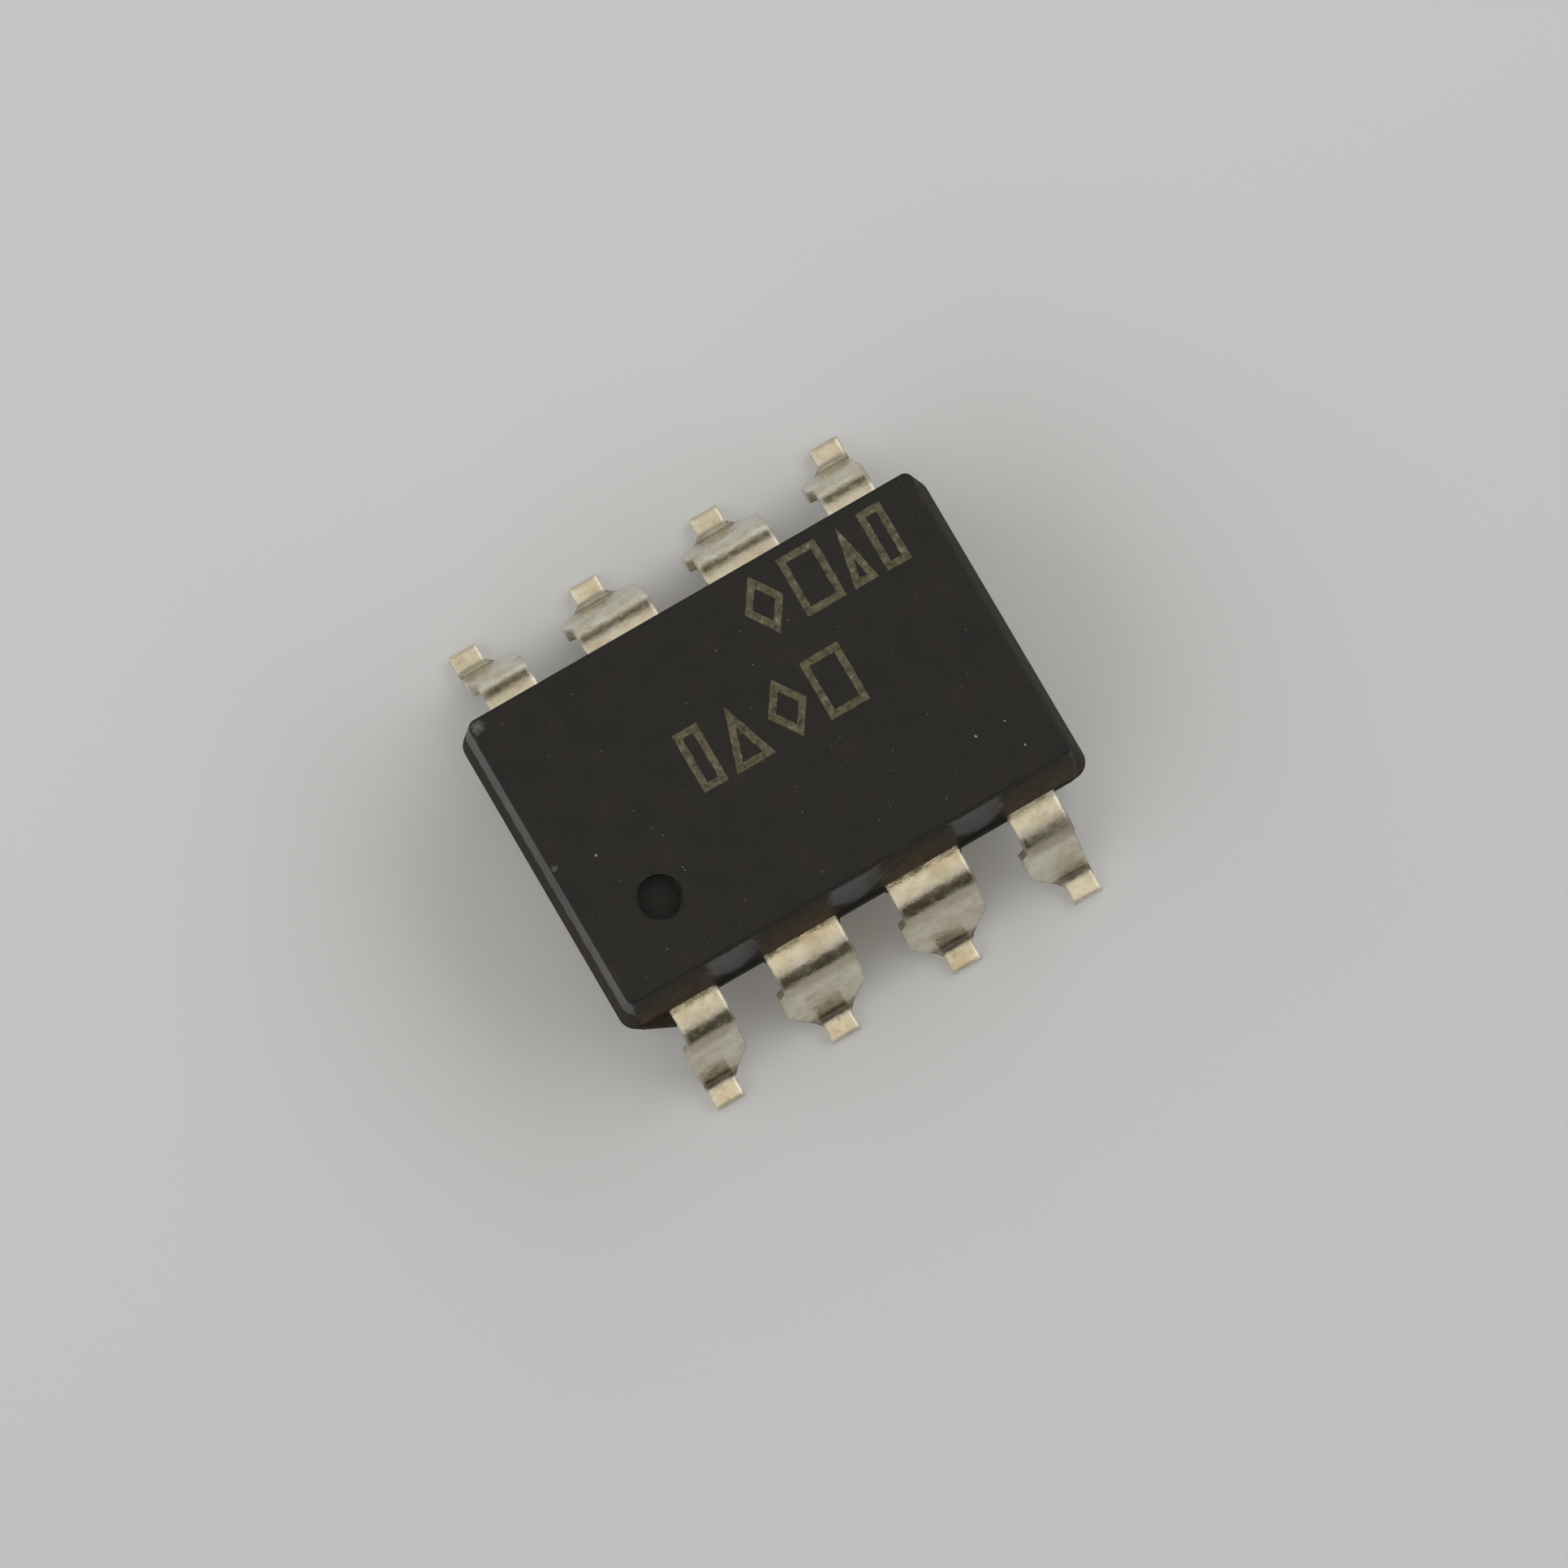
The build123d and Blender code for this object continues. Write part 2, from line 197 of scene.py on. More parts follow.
# Plating of the leads
BROAD_GRAIN = (2.6, 3.0, 0.55)
BROAD_COLOURS = (
    (0.30, (0.63, 0.57, 0.45)),
    (0.52, (0.73, 0.69, 0.58)),
    (0.75, (0.83, 0.81, 0.73)),
)
CLOSE_GRAIN = (8.0, 4.0, 0.65)
CLOSE_COLOURS = (
    (0.30, (0.80, 0.78, 0.74)),
    (0.46, (0.98, 0.97, 0.95)),
    (0.60, (1.0, 1.0, 0.98)),
)
POLISH_GRAIN = (7.0, 4.0, 0.65)
POLISH_CONTRAST = (0.35, 0.65)
PLATING_ROUGHNESS = (0.10, 0.30)
EDGE_ROUND = 0.12
EDGE_SAMPLES = 4
DENT_GRAIN = (2.6, 2.0, 0.5)
DENT_BUMP = (0.024, 0.5)
ROLLING_GRAIN = (16.0, 3.0, 0.6)
ROLLING_BUMP = (0.0045, 0.6)

# Front leads start here across the body, and the duller lead 4 starts here along it
FRONT_LEADS = (0.0, -1.0)
DULL_LEAD = (3.1, 3.2)
DULL_LEAD_ROUGHNESS = 0.14

# Painted shade on the plating: in the heels, weaker on the back leads, and below the upper bends of the
# front leads
PAINTED_SHADE_GRAIN = (6.0, 3.0, 0.6)
PAINTED_SHADE_RAGGEDNESS = 0.16
HEEL_HEIGHTS = (0.26, 0.30, 0.40, 0.50)
HEEL_SHADE_STRENGTH = 0.65
HEEL_SHADE_ON_BACK = 0.45
HEEL_SHADE_COLOUR = (0.22, 0.18, 0.13, 1)
BEND_HEIGHTS = (1.58, 1.78, 1.94, 2.05)
BEND_SHADE_STRENGTH = 0.50
BEND_SHADE_COLOUR = (0.34, 0.29, 0.21, 1)

# Sheared edges: how far a face is turned sideways, or upwards on the dam bar stubs
SIDEWAYS = (0.25, 0.45)
UPWARDS = (0.70, 0.80)
STUB_HEIGHTS = (1.15, 1.25, 1.80, 1.90)
SHEARED_ROUGHNESS = 0.45
SHEARED_METAL_LOSS = 0.30

# Pieces inside the body, and dust: a dark and a light colour, which the grain reaches at these values
GRAIN_CONTRAST = (0.35, 0.65)
INNER_LOOKS = {
    "silicon": dict(dark=(0.060, 0.065, 0.085), light=(0.075, 0.080, 0.105), scale=30, rough=0.12),
    "emitter": dict(dark=(0.10, 0.035, 0.035), light=(0.13, 0.045, 0.045), scale=30, rough=0.15),
    "conductive_glue": dict(
        dark=(0.34, 0.34, 0.32), light=(0.46, 0.46, 0.44), scale=60, rough=0.45, metallic=0.8),
    "film": dict(
        dark=(0.68, 0.40, 0.075), light=(0.72, 0.44, 0.09), scale=4, rough=0.08, clear=0.85, ior=1.7),
    "gel": dict(
        dark=(0.86, 0.88, 0.90), light=(0.90, 0.91, 0.92), scale=4, rough=0.06, clear=1.0, ior=1.41),
    "gold": dict(dark=(0.86, 0.56, 0.18), light=(0.92, 0.64, 0.24), scale=40, rough=0.22, metallic=1.0),
}
DUST_LOOK = dict(dark=(0.20, 0.19, 0.17), light=(0.42, 0.41, 0.38), scale=40, rough=0.9)

# Marks burnt into the top face. The shapes are outlines as shares of a mark's width and height,
# anticlockwise. Each row has a name, the place where it starts, and its marks from left to right.
MARK_GRAIN = (7.0, 5.0, 0.75)
MARK_COLOURS = (
    (0.34, (0.035, 0.030, 0.020)),
    (0.48, (0.090, 0.078, 0.048)),
    (0.60, (0.125, 0.110, 0.072)),
    (0.72, (0.30, 0.28, 0.21)),
)
MARK_SKIN_GRAIN = (20.0, 4.0, 0.7)
MARK_BUMP = (0.006, 0.8)
MARK_HEIGHT = 1.20
MARK_STROKE = 0.14
MARK_THICKNESS = 0.004
MARK_RAGGEDNESS = 0.012
MARK_WAVES = 9
MARK_GAP = 0.18
STEPS_PER_SIDE = 14
LEAST_MITRE = 0.2
WIDE, NARROW = 0.80, 0.50
SHAPES = {
    "diamond": ((0.5, 0), (1, 0.5), (0.5, 1), (0, 0.5)),
    "box": ((0, 0), (1, 0), (1, 1), (0, 1)),
    "peak": ((0, 0), (1, 0), (0.5, 1)),
}
MARK_ROWS = (
    ("upper", 0.73, 1.55, (("diamond", WIDE), ("box", WIDE), ("peak", NARROW), ("box", NARROW))),
    ("lower", -1.51, -0.30, (("box", NARROW), ("peak", WIDE), ("diamond", WIDE), ("box", WIDE))),
)

# Dust: place and radius of the specks that the photograph shows, and what the others are drawn from
DUST_SEEN = ((-3.77, -0.29, 0.030), (3.22, -1.87, 0.034), (3.81, -1.885, 0.020), (3.91, -2.45, 0.024))
DUST_COUNT = 90
DUST_AREA = (4.4, 2.75)
DUST_RADII = (0.004, 0.013)
DUST_CORNERS = 6
DUST_STRETCH = (0.6, 1.0)
DUST_REACH = (0.7, 1.0)
DUST_HEIGHT = 0.4


def node_adder(tree):
    """A function that adds a node to the tree, with its settings and with values or links on its inputs."""
    def add(kind, values=(), **settings):
        node = tree.nodes.new(kind)
        for key, value in settings.items():
            setattr(node, key, value)
        for socket, value in dict(values).items():
            if isinstance(value, bpy.types.NodeSocket):
                tree.links.new(value, node.inputs[socket])
            else:
                node.inputs[socket].default_value = value
        return node
    return add


def new_material(name):
    """A material with its shader, a function that adds nodes, and one that feeds the shader."""
    material = bpy.data.materials.new(name)
    material.use_nodes = True
    tree = material.node_tree
    shader = tree.nodes["Principled BSDF"]

    def join(source, socket):
        tree.links.new(source, shader.inputs[socket])

    return material, shader, node_adder(tree), join


def set_shader(shader, **values):
    """Sets the shader's own sockets: keywords are socket names with underscores for spaces."""
    for key, value in values.items():
        shader.inputs[key.replace("_", " ")].default_value = value


def object_place(add):
    """A point's place in its object."""
    return add("ShaderNodeTexCoord").outputs["Object"]


def axes_of(add, vector):
    """The X, Y and Z of a vector."""
    return add("ShaderNodeSeparateXYZ", {"Vector": vector}).outputs


def grain(add, place, scale, detail=3.0, roughness=0.55):
    """Noise over the object, scale in features per mm."""
    return add("ShaderNodeTexNoise", {
        "Vector": place, "Scale": scale / MM, "Detail": detail, "Roughness": roughness}).outputs["Fac"]


def ramp(add, value, stops):
    """Colour ramp through (position, colour) stops."""
    node = add("ShaderNodeValToRGB", {"Fac": value})
    elements = node.color_ramp.elements
    while len(elements) < len(stops):
        elements.new(0.5)
    for element, (position, colour) in zip(elements, stops):
        element.position = position
        element.color = (*colour, 1)
    return node.outputs["Color"]


def blended(add, factor, first, second, blend_type="MIX"):
    """Two colours mixed. The sockets are the Mix node's colour ones, which share their names with others."""
    return add("ShaderNodeMix", {"Factor": factor, 6: first, 7: second},
               data_type="RGBA", blend_type=blend_type).outputs[2]


def combined(add, operation, first, *others):
    """Result of a maths operation over the values, from left to right."""
    for other in others:
        first = add("ShaderNodeMath", {0: first, 1: other}, operation=operation).outputs["Value"]
    return first


def product(add, *values):
    """The values multiplied together."""
    return combined(add, "MULTIPLY", *values)


def unsigned(add, value):
    """The value without its sign."""
    return add("ShaderNodeMath", {0: value}, operation="ABSOLUTE").outputs["Value"]


def rescaled(add, value, low, high, start=0.0, end=1.0):
    """Low where the value is at start or short of it, and high from end on."""
    return add("ShaderNodeMapRange", {
        "Value": value, "From Min": start, "From Max": end, "To Min": low, "To Max": high}).outputs["Result"]


def fade(add, value, start, end):
    """0 where the value is at start or short of it, and 1 from end on."""
    return rescaled(add, value, 0.0, 1.0, start, end)


def fade_mm(add, value, lengths, origin=0.0, sign=1):
    """A fade between two lengths in mm, which are counted from the origin, with sign -1 backwards."""
    start, end = (origin + sign * length * MM for length in lengths)
    return fade(add, value, start, end)


def between(add, value, levels):
    """1 from the second level to the third, in mm, and 0 short of the first and past the fourth."""
    low, full, high, end = levels
    return product(add, fade_mm(add, value, (low, full)), fade_mm(add, value, (end, high)))


def moved(add, value, noise_value, amount):
    """The value, moved up or down by noise, whose middle is 0.5."""
    shift = combined(add, "SUBTRACT", noise_value, 0.5)
    return add("ShaderNodeMath", {0: shift, 1: amount, 2: value}, operation="MULTIPLY_ADD").outputs["Value"]


def distance_to(add, place, x, y, drop=0.0):
    """Distance of a point from a spot on the body, which lies drop below its top."""
    spot = (x * MM, y * MM, BODY_TOP - drop * MM)
    return add("ShaderNodeVectorMath", {0: place, 1: spot}, operation="DISTANCE").outputs["Value"]


def bumped(add, height, depth, strength, normal=None):
    """A surface's normal with a bump, over the normal given if there is one."""
    values = {"Height": height, "Distance": depth * MM, "Strength": strength}
    if normal is not None:
        values["Normal"] = normal
    return add("ShaderNodeBump", values).outputs["Normal"]


def body_measures(add):
    """What the moulding's masks share: a point's place, noises, how far it is from a gap, and the ends."""
    place = object_place(add)
    axes = axes_of(add, place)
    return SimpleNamespace(
        place=place,
        across=axes["Y"],
        height=axes["Z"],
        speck=grain(add, place, *SPECK_GRAIN),
        cloud=grain(add, place, *CLOUD_GRAIN),
        edge=grain(add, place, *EDGE_GRAIN),
        off_gap=combined(add, "PINGPONG", axes["X"], LEAD_PITCH / 2 * MM),
        left_end=fade_mm(add, axes["X"], END_FACES, sign=-1),
        right_end=fade_mm(add, axes["X"], END_FACES))


def dimple_mask(add, body):
    """1 inside the dimple, whose edge is ragged."""
    reach = moved(add, distance_to(add, body.place, *DIMPLE_CENTRE), body.edge, DIMPLE_RAGGEDNESS * MM)
    return fade_mm(add, reach, (DIMPLE_RADIUS + DIMPLE_BLUR, DIMPLE_RADIUS - DIMPLE_BLUR))


def dull_mask(add, body):
    """1 where the sides are dull: above the leads, close under the top, and all over the right end."""
    from_gap = moved(add, body.off_gap, body.edge, PATCH_SIDE_RAGGEDNESS * MM)
    level = moved(add, body.height, body.edge, PATCH_TOP_RAGGEDNESS * MM)
    over_lead = fade_mm(add, from_gap, PATCH_SIDES)
    over_patch = fade_mm(add, level, PATCH_TOPS, BODY_TOP, -1)
    dull = combined(add, "MAXIMUM", over_lead, over_patch)
    dull = combined(add, "SUBTRACT", dull, body.left_end)
    dull = combined(add, "MAXIMUM", dull, body.right_end)
    below_top = fade_mm(add, body.height, DULL_TOPS, BODY_TOP, -1)
    off_dimple = fade_mm(add, distance_to(add, body.place, *DIMPLE_CENTRE), DIMPLE_RIM)
    return product(add, dull, below_top, off_dimple)


def band_mask(add, body, dull):
    """1 in the coarse band, which is only where the moulding isn't dull."""
    level = moved(add, body.height, body.edge, BAND_RAGGEDNESS * MM)
    rise_at_end = product(add, body.left_end, (END_BAND - SIDE_BAND) * MM)
    rise_to_lead = combined(add, "SUBTRACT", body.off_gap, BAND_LEVEL * MM)
    level = combined(add, "SUBTRACT", level, rise_at_end, rise_to_lead)
    band = fade_mm(add, level, (SIDE_BAND + BAND_BLUR, SIDE_BAND - BAND_BLUR), PARTING_HEIGHT)
    return product(add, band, combined(add, "SUBTRACT", 1.0, dull))


def painted_reflection_mask(add, body, dull):
    """How far the painted reflection covers the dull moulding: mottled, weaker on the ends and towards the
    back.
    """
    ends = combined(add, "MAXIMUM", body.left_end, body.right_end)
    on_ends = rescaled(add, ends, 1.0, PAINTED_REFLECTION_ON_ENDS)
    mottle = rescaled(add, grain(add, body.place, *PAINTED_REFLECTION_GRAIN), PAINTED_REFLECTION_LEAST, 1.0, *PAINTED_REFLECTION_CONTRAST)
    off_parting = fade_mm(add, body.height, PAINTED_REFLECTION_STARTS, PARTING_HEIGHT)
    front, back = (length * MM for length in PAINTED_REFLECTION_FRONT_TO_BACK)
    to_back = rescaled(add, body.across, 1.0, PAINTED_REFLECTION_AT_BACK, front, back)
    return product(add, dull, on_ends, mottle, off_parting, to_back)


def painted_reflection_colour(add, body):
    """Colour of the painted reflection: brown of the mirrored leads at the parting line, turning grey higher
    up.
    """
    level = moved(add, body.height, body.edge, PAINTED_REFLECTION_RAGGEDNESS * MM)
    lower = fade_mm(add, level, (PAINTED_REFLECTION_HEIGHT, 0.0), PARTING_HEIGHT)
    return blended(add, lower, PAINTED_REFLECTION_GREY, PAINTED_REFLECTION_BROWN)


def black_colour(add, body):
    """Black with fine pale specks of filler, in broad darker and paler blotches."""
    specks = ramp(add, body.speck, SPECK_COLOURS)
    blotches = ramp(add, grain(add, body.place, *BLOTCH_GRAIN), BLOTCH_COLOURS)
    return blended(add, 1.0, specks, blotches, "MULTIPLY")


def scuff_and_highlight_mask(add, body):
    """How pale the moulding is painted on its spots: scuff wear, and painted highlights on the back corners.
    """
    pale_spots = []
    for x, y, drop, reach in SCUFF_AND_HIGHLIGHT_SPOTS:
        away = distance_to(add, body.place, x, y, drop)
        ragged = moved(add, away, body.speck, SCUFF_AND_HIGHLIGHT_RAGGEDNESS * reach * MM)
        pale_spots.append(fade_mm(add, ragged, [share * reach for share in SCUFF_AND_HIGHLIGHT_SHARES]))
    return product(add, combined(add, "MAXIMUM", *pale_spots), SCUFF_AND_HIGHLIGHT_PALENESS)


def moulding_roughness(add, body, dull, coarse):
    """Smooth on the patches, rougher on the top face, and roughest where it is dull or coarse."""
    top_face = fade_mm(add, body.height, TOP_FACE, BODY_TOP, -1)
    side = rescaled(add, dull, PATCH_ROUGHNESS, DULL_ROUGHNESS)
    even = rescaled(add, top_face, side, TOP_ROUGHNESS)
    clouded = moved(add, even, body.cloud, CLOUD_ROUGHNESS)
    uneven = moved(add, clouded, body.edge, EDGE_ROUGHNESS)
    return rescaled(add, coarse, uneven, COARSE_ROUGHNESS)


def moulding_material():
    """Matt black moulding compound as the moulding tool and wear have left it, with a painted reflection on
    its dull sides and painted highlights on its back corners.
    """
    material, shader, add, join = new_material("moulding")
    body = body_measures(add)
    dull = dull_mask(add, body)
    band = band_mask(add, body, dull)
    dull = combined(add, "MAXIMUM", dull, product(add, band, body.left_end))
    coarse = combined(add, "MAXIMUM", product(add, dimple_mask(add, body), DIMPLE_COARSENESS), band)

    banded = blended(add, band, black_colour(add, body), BAND_COLOUR)
    # Painted reflection: brown of the mirrored leads near the parting line, grey higher up
    with_painted_reflection = blended(add, painted_reflection_mask(add, body, dull), banded, painted_reflection_colour(add, body))
    # Pale spots: scuff wear, and painted highlights on the back corners
    join(blended(add, scuff_and_highlight_mask(add, body), with_painted_reflection, SCUFF_AND_HIGHLIGHT_COLOUR), "Base Color")
    join(moulding_roughness(add, body, dull, coarse), "Roughness")
    skin = bumped(add, grain(add, body.place, *SKIN_GRAIN), *SKIN_BUMP)
    join(bumped(add, body.edge, PIT_DEPTH, coarse, skin), "Normal")
    set_shader(shader, Specular_IOR_Level=0.32)
    return material


def plating_colour(add, place):
    """Pale gold, mottled broadly and closely."""
    broad = ramp(add, grain(add, place, *BROAD_GRAIN), BROAD_COLOURS)
    close = ramp(add, grain(add, place, *CLOSE_GRAIN), CLOSE_COLOURS)
    return blended(add, 1.0, broad, close, "MULTIPLY")


def with_painted_shade(add, plating, place, height, front):
    """The plating's colour, with painted shade in the heels and below the upper bends of the front leads."""
    uneven = moved(add, height, grain(add, place, *PAINTED_SHADE_GRAIN), PAINTED_SHADE_RAGGEDNESS * MM)
    on_side = rescaled(add, front, HEEL_SHADE_ON_BACK, 1.0)
    heel = product(add, between(add, uneven, HEEL_HEIGHTS), on_side, HEEL_SHADE_STRENGTH)
    bend = product(add, between(add, uneven, BEND_HEIGHTS), front, BEND_SHADE_STRENGTH)
    return blended(add, bend, blended(add, heel, plating, HEEL_SHADE_COLOUR), BEND_SHADE_COLOUR)


def sheared_mask(add, height):
    """1 on the sheared edges: the leads' sides and the tops of the dam bar stubs."""
    facing = axes_of(add, add("ShaderNodeNewGeometry").outputs["True Normal"])
    sides = fade(add, unsigned(add, facing["X"]), *SIDEWAYS)
    stub_tops = product(add, fade(add, facing["Z"], *UPWARDS), between(add, height, STUB_HEIGHTS))
    return combined(add, "MAXIMUM", sides, stub_tops)


def lead_roughness(add, place, along, front, sheared):
    """Polished unevenly, rougher on lead 4 and on the sheared edges."""
    polish = grain(add, place, *POLISH_GRAIN)
    plated = rescaled(add, polish, *PLATING_ROUGHNESS, *POLISH_CONTRAST)
    dull_lead = product(add, fade_mm(add, along, DULL_LEAD), front)
    return combined(add, "ADD", plated, product(add, dull_lead, DULL_LEAD_ROUGHNESS),
                    product(add, sheared, SHEARED_ROUGHNESS))


def lead_material():
    """Thin pale gold plating over rolled metal, with fine dents, a dull mottle, rounded edges, and painted
    shade in the heels and below the bends.
    """
    material, shader, add, join = new_material("plated_lead")
    place = object_place(add)
    axes = axes_of(add, place)
    front = fade_mm(add, axes["Y"], FRONT_LEADS)
    sheared = sheared_mask(add, axes["Z"])
    # Base colour with painted shade in the heels and below the upper bends of the front leads
    join(with_painted_shade(add, plating_colour(add, place), place, axes["Z"], front), "Base Color")
    join(lead_roughness(add, place, axes["X"], front, sheared), "Roughness")
    join(combined(add, "SUBTRACT", 1.0, product(add, sheared, SHEARED_METAL_LOSS)), "Metallic")
    rounded = add("ShaderNodeBevel", {"Radius": EDGE_ROUND * MM}, samples=EDGE_SAMPLES).outputs["Normal"]
    dented = bumped(add, grain(add, place, *DENT_GRAIN), *DENT_BUMP, rounded)
    join(bumped(add, grain(add, place, *ROLLING_GRAIN), *ROLLING_BUMP, dented), "Normal")
    return material


def grained_material(name, dark, light, scale, rough, metallic=0.0, clear=0.0, ior=1.45):
    """Plain material: two close colours in a fine grain."""
    material, shader, add, join = new_material(name)
    stops = tuple(zip(GRAIN_CONTRAST, (dark, light)))
    join(ramp(add, grain(add, object_place(add), scale), stops), "Base Color")
    set_shader(shader, Roughness=rough, Metallic=metallic, Transmission_Weight=clear, IOR=ior)
    return material


def mark_material():
    """Burnt print: tan, mottled, with the black showing through and paler flecks."""
    material, shader, add, join = new_material("burnt_mark")
    place = object_place(add)
    join(ramp(add, grain(add, place, *MARK_GRAIN), MARK_COLOURS), "Base Color")
    join(bumped(add, grain(add, place, *MARK_SKIN_GRAIN), *MARK_BUMP), "Normal")
    set_shader(shader, Roughness=0.75, Specular_IOR_Level=0.2)
    return material


def dress_nodes():
    """Gives every CAD node its material."""
    finishes = {"moulding": moulding_material(), "plated_lead": lead_material()}
    for name, look in INNER_LOOKS.items():
        finishes[name] = grained_material(name, **look)
    for entry in frame["record"]["subparts"]:
        mesh = frame["nodes"][entry["node"]].data
        mesh.materials.clear()
        mesh.materials.append(finishes[entry["material_slot"]])


def add_piece(name, vertices, faces, material):
    """Adds a mesh that rides on the part."""
    mesh = bpy.data.meshes.new(name)
    mesh.from_pydata(vertices, [], faces)
    mesh.materials.append(material)
    piece = bpy.data.objects.new(name, mesh)
    bpy.context.scene.collection.objects.link(piece)
    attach(piece, "root")


def inset(corners, distance):
    """Corners of a convex outline, moved inwards by a distance. The outline runs anticlockwise."""
    inner = []
    for i, here in enumerate(corners):
        before, after = corners[i - 1], corners[(i + 1) % len(corners)]
        first = (here - before).normalized()
        second = (after - here).normalized()
        half = (first + second).normalized()
        inward = Vector((-half.y, half.x))
        mitre = max(inward.dot(Vector((-first.y, first.x))), LEAST_MITRE)
        inner.append(here + inward * distance / mitre)
    return inner


def closed_points(corners):
    """The outline's corners with evenly spaced points between them."""
    points = []
    for i, here in enumerate(corners):
        after = corners[(i + 1) % len(corners)]
        points.extend(here.lerp(after, k / STEPS_PER_SIDE) for k in range(STEPS_PER_SIDE))
    return points


def ragged_loop(corners):
    """A closed loop through the corners, its edges slightly ragged."""
    loop = []
    for point in closed_points(corners):
        shift = noise.noise_vector(Vector((point.x * MARK_WAVES, point.y * MARK_WAVES, 0)))
        loop.append(point + shift.xy * MARK_RAGGEDNESS)
    return loop


def add_mark(vertices, faces, shape, width, start_x, start_y):
    """Adds one mark to a row's vertices and faces: the thin closed ring between two loops."""
    corners = [Vector((start_x + u * width, start_y + v * MARK_HEIGHT)) for u, v in SHAPES[shape]]
    outer, inner = ragged_loop(corners), ragged_loop(inset(corners, MARK_STROKE))
    count = len(outer)
    base = len(vertices)
    for loop in (outer, inner):
        for lift in (0.0, MARK_THICKNESS):
            vertices.extend((point.x * MM, point.y * MM, BODY_TOP + lift * MM) for point in loop)
    low_out, high_out, low_in, high_in = (base + k * count for k in range(4))
    for i in range(count):
        j = (i + 1) % count
        faces.append((high_out + i, high_out + j, high_in + j, high_in + i))
        faces.append((low_out + j, low_out + i, low_in + i, low_in + j))
        faces.append((low_out + i, low_out + j, high_out + j, high_out + i))
        faces.append((high_in + i, high_in + j, low_in + j, low_in + i))


def make_marks(material):
    """Two rows of plain outlines on the top face, each row one thin piece."""
    for row, start_x, start_y, marks in MARK_ROWS:
        vertices, faces = [], []
        x = start_x
        for shape, width in marks:
            add_mark(vertices, faces, shape, width, x, start_y)
            x += width + MARK_GAP
        add_piece(f"{row}_marks", vertices, faces, material)


def add_speck(vertices, faces, x, y, radius):
    """Adds one speck of dust to the vertices and faces: a low, stretched and turned pyramid."""
    base = len(vertices)
    stretch, turn = random.uniform(*DUST_STRETCH), random.uniform(0, math.pi)
    for k in range(DUST_CORNERS):
        angle = math.tau * k / DUST_CORNERS
        reach = radius * random.uniform(*DUST_REACH)
        u, v = reach * math.cos(angle), stretch * reach * math.sin(angle)
        across = u * math.cos(turn) - v * math.sin(turn)
        up = u * math.sin(turn) + v * math.cos(turn)
        vertices.append(((x + across) * MM, (y + up) * MM, BODY_TOP))
    vertices.append((x * MM, y * MM, BODY_TOP + DUST_HEIGHT * radius * MM))
    for k in range(DUST_CORNERS):
        faces.append((base + k, base + (k + 1) % DUST_CORNERS, base + DUST_CORNERS))
    faces.append(tuple(base + k for k in reversed(range(DUST_CORNERS))))


def make_dust(material):
    """Specks of dust on the top face: the four that show in the photograph, and many finer ones."""
    reach_x, reach_y = DUST_AREA
    specks = list(DUST_SEEN)
    for _ in range(DUST_COUNT):
        specks.append((random.uniform(-reach_x, reach_x), random.uniform(-reach_y, reach_y),
                       random.uniform(*DUST_RADII)))
    vertices, faces = [], []
    for x, y, radius in specks:
        add_speck(vertices, faces, x, y, radius)
    add_piece("dust", vertices, faces, material)


def floor_material():
    """Pale sheet, a little uneven, with painted light making it lighter towards the back, and glowing to
    lift its shadows.
    """
    material, shader, add, join = new_material("floor")
    place = object_place(add)
    to_back = fade_mm(add, axes_of(add, place)["Y"], FLOOR_FRONT_TO_BACK)
    uneven = moved(add, to_back, grain(add, place, FLOOR_CLOUDS), FLOOR_UNEVENNESS)
    # Painted light: the floor's colour is lighter towards the back
    front_colour, back_colour = (
        tuple(channel * (1 + slope) for channel in FLOOR_COLOUR) for slope in (-FLOOR_PAINTED_LIGHT_SLOPE, FLOOR_PAINTED_LIGHT_SLOPE))
    join(ramp(add, uneven, ((0.0, front_colour), (1.0, back_colour))), "Base Color")
    set_shader(shader, Roughness=0.9, Specular_IOR_Level=0.1,
               Emission_Color=FLOOR_GLOW, Emission_Strength=1.0)
    return material


def add_floor():
    """Square floor just under the feet."""
    half = FLOOR_SIZE / 2 * MM
    corners = [(-half, -half, 0), (half, -half, 0), (half, half, 0), (-half, half, 0)]
    mesh = bpy.data.meshes.new("floor")
    mesh.from_pydata(corners, [], [(0, 1, 2, 3)])
    mesh.materials.append(floor_material())
    floor = bpy.data.objects.new("floor", mesh)
    floor.location.z = -FLOOR_DROP * MM
    bpy.context.scene.collection.objects.link(floor)


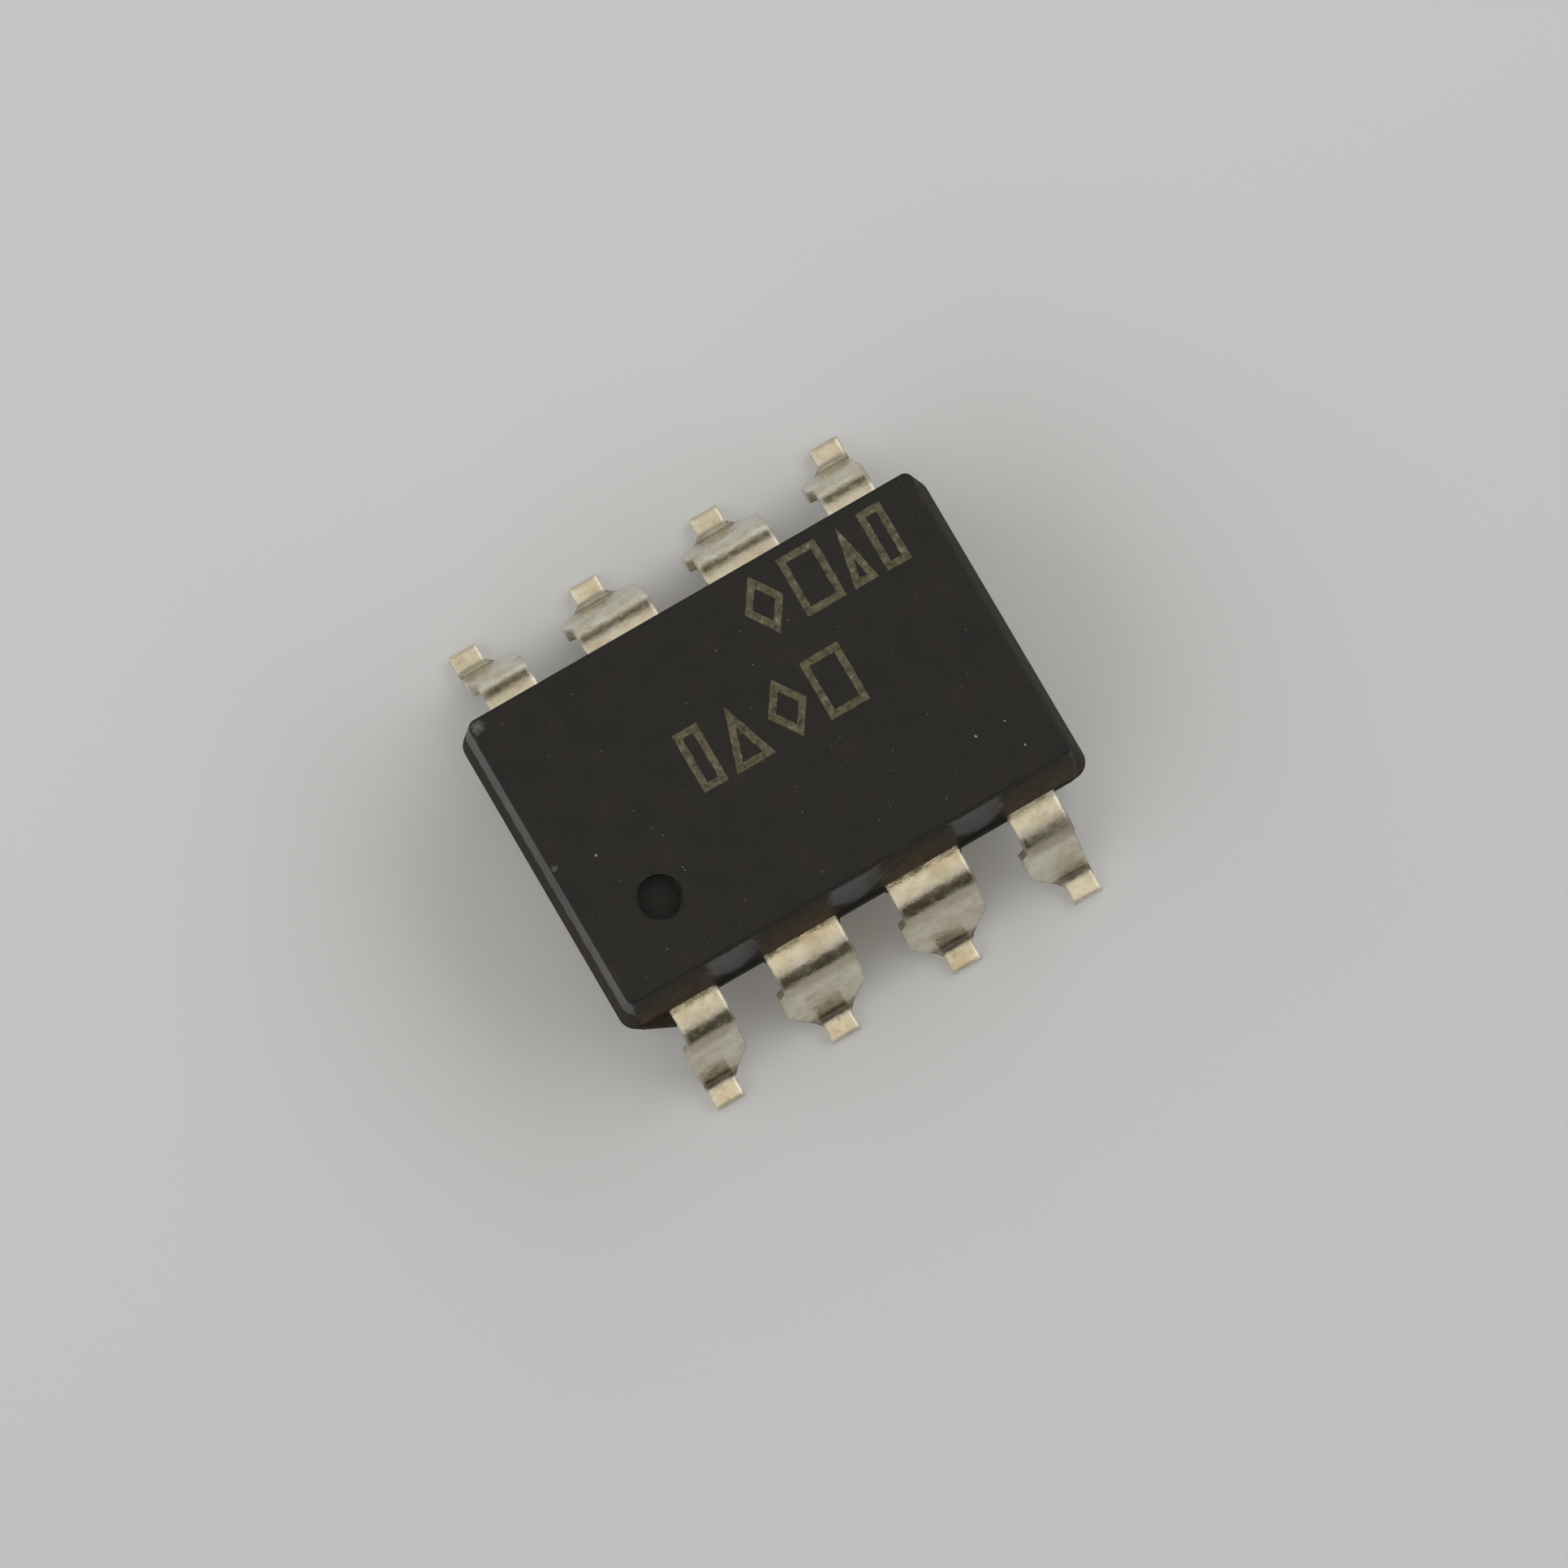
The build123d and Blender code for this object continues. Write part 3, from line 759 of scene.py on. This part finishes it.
def sky_colour(add):
    """Soft warm light overhead, a broad lamp towards each end of the part, and dark parts between."""
    axes = axes_of(add, add("ShaderNodeTexCoord").outputs["Generated"])
    height = axes["Z"]
    back = fade(add, axes["Y"], *BACK_STARTS)
    dome = blended(add, back, ramp(add, height, FRONT_SKY), ramp(add, height, BACK_SKY))
    lamp = product(
        add, fade(add, unsigned(add, axes["X"]), *LAMP_SIDES), fade(add, height, *LAMP_BOTTOM),
        fade(add, height, *LAMP_TOP))
    bright = rescaled(add, axes["X"], LEFT_LAMP, RIGHT_LAMP, *LAMP_MIDDLE)
    return blended(add, lamp, dome, bright)


def set_sky():
    """Lights the scene with the sky, behind which the camera sees a plain backdrop."""
    world = bpy.data.worlds.new("studio")
    bpy.context.scene.world = world
    world.use_nodes = True
    tree = world.node_tree
    tree.nodes.clear()
    add = node_adder(tree)
    lit = add("ShaderNodeBackground", {"Color": sky_colour(add)}).outputs["Background"]
    seen = add("ShaderNodeBackground", {"Color": BACKDROP_COLOUR}).outputs["Background"]
    to_camera = add("ShaderNodeLightPath").outputs["Is Camera Ray"]
    mix = add("ShaderNodeMixShader", {0: to_camera, 1: lit, 2: seen}).outputs["Shader"]
    add("ShaderNodeOutputWorld", {"Surface": mix})


def add_camera():
    """Camera at the photograph's angle, turned on its axis as the photograph is."""
    tilt_x, tilt_y = math.radians(CAMERA_TILT_X), math.radians(CAMERA_TILT_Y)
    towards = Vector((-math.sin(tilt_y), -math.sin(tilt_x), 1)).normalized()
    right = (Vector((1, 0, 0)) - towards * towards.x).normalized()
    up = towards.cross(right)
    roll = math.radians(CAMERA_ROLL)
    image_right = right * math.cos(roll) - up * math.sin(roll)
    image_up = up * math.cos(roll) + right * math.sin(roll)
    aim = Vector(AIM_POINT) + image_right * AIM_RIGHT + image_up * AIM_UP
    spot = (aim + towards * CAMERA_DISTANCE) * MM
    turn = Matrix((image_right, image_up, towards)).transposed().to_4x4()
    lens = bpy.data.cameras.new("camera")
    lens.sensor_width = SENSOR_WIDTH
    lens.lens = CAMERA_LENS
    lens.clip_start = CLIP_START * MM
    camera = bpy.data.objects.new("camera", lens)
    camera.matrix_world = Matrix.Translation(spot) @ turn
    bpy.context.scene.collection.objects.link(camera)
    bpy.context.scene.camera = camera


bpy.context.scene.view_settings.view_transform = "Standard"
dress_nodes()
make_marks(mark_material())
make_dust(grained_material("dust", **DUST_LOOK))
add_floor()
set_sky()
add_camera()
